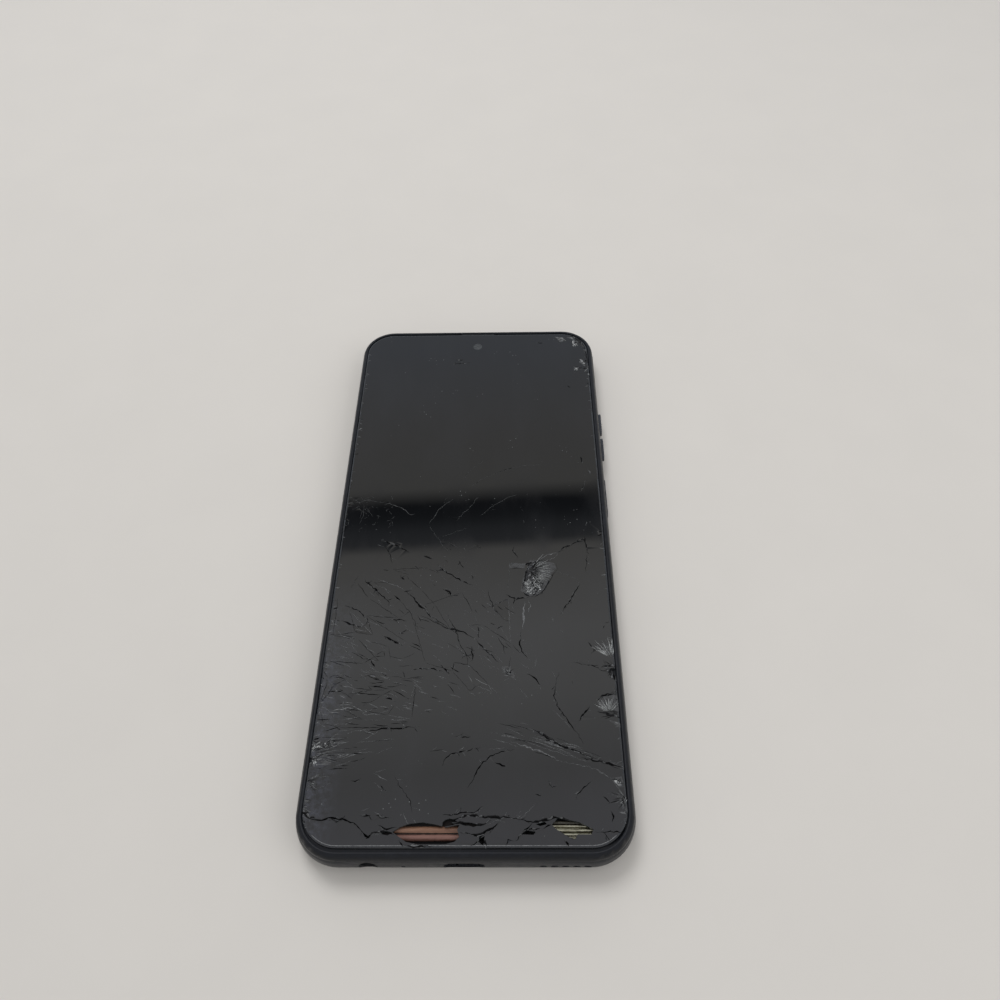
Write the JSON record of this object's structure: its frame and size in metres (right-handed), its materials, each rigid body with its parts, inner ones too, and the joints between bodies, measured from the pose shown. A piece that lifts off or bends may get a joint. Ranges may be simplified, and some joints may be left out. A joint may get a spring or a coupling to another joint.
{
  "type": "shattered screen phone",
  "caption": "Slim touchscreen phone with a shattered, chipped cover glass, a gap over its brown display film, side keys that press and a card tray that slides out.",
  "frame": {"origin": "middle of the flat back, on the surface the phone lies on", "axes": "+X towards the side keys, +Y towards the earpiece end, +Z out of the screen"},
  "size_m": [0.0766, 0.166, 0.009],
  "materials": {
    "broken_glass": "gloss, crazed and chipped",
    "clear_film": "satin",
    "display_black": "gloss",
    "flex_brown": "satin",
    "contact_metal": "brushed",
    "navy_plastic": "satin, scuffed",
    "plate_metal": "satin",
    "lens_black": "gloss",
    "led_yellow": "gloss",
    "black_plastic": "matte",
    "board_green": "satin",
    "shield_steel": "satin",
    "port_steel": "satin",
    "mesh_grey": "matte",
    "cell_grey": "satin",
    "flex_amber": "satin"
  },
  "bodies": {
    "phone": {"cover_glass": "broken_glass", "bonding_film": "clear_film", "lcd_panel": "display_black", "backlight_unit": "black_plastic", "display_flex": "flex_brown", "ground_strip": "contact_metal", "front_bezel": "navy_plastic", "mid_plate": "plate_metal", "rear_cover": "navy_plastic", "camera_window": "lens_black", "rear_camera_main": "lens_black", "rear_camera_second": "lens_black", "flash_led": "led_yellow", "front_camera": "lens_black", "earpiece_speaker": "black_plastic", "earpiece_mesh": "mesh_grey", "main_board": "board_green", "processor_shield": "shield_steel", "radio_shield": "shield_steel", "sim_reader": "shield_steel", "top_bracket": "black_plastic", "case_screws": "port_steel", "sub_board": "board_green", "usb_c_shell": "port_steel", "usb_c_tongue": "black_plastic", "headphone_jack": "black_plastic", "microphone": "black_plastic", "speaker_module": "black_plastic", "speaker_mesh": "mesh_grey", "vibration_motor": "port_steel", "battery": "cell_grey", "battery_flex": "flex_amber", "main_flex": "flex_amber", "side_key_flex": "flex_amber"},
    "volume_up_key": {"volume_up_key": "navy_plastic"},
    "volume_down_key": {"volume_down_key": "navy_plastic"},
    "power_key": {"power_key": "navy_plastic"},
    "sim_tray": {"sim_tray": "navy_plastic"}
  },
  "joints": [
    {"name": "volume_up_press", "type": "slide", "parent": "phone", "child": "volume_up_key", "axis": [-1, 0, 0], "range_m": [0, 0.0004], "stiffness_N_per_m": 450},
    {"name": "volume_down_press", "type": "slide", "parent": "phone", "child": "volume_down_key", "axis": [-1, 0, 0], "range_m": [0, 0.0004], "stiffness_N_per_m": 450},
    {"name": "power_press", "type": "slide", "parent": "phone", "child": "power_key", "axis": [-1, 0, 0], "range_m": [0, 0.0004], "stiffness_N_per_m": 450},
    {"name": "sim_tray_slide", "type": "slide", "parent": "phone", "child": "sim_tray", "axis": [-1, 0, 0], "range_m": [0, 0.016]}
  ]
}
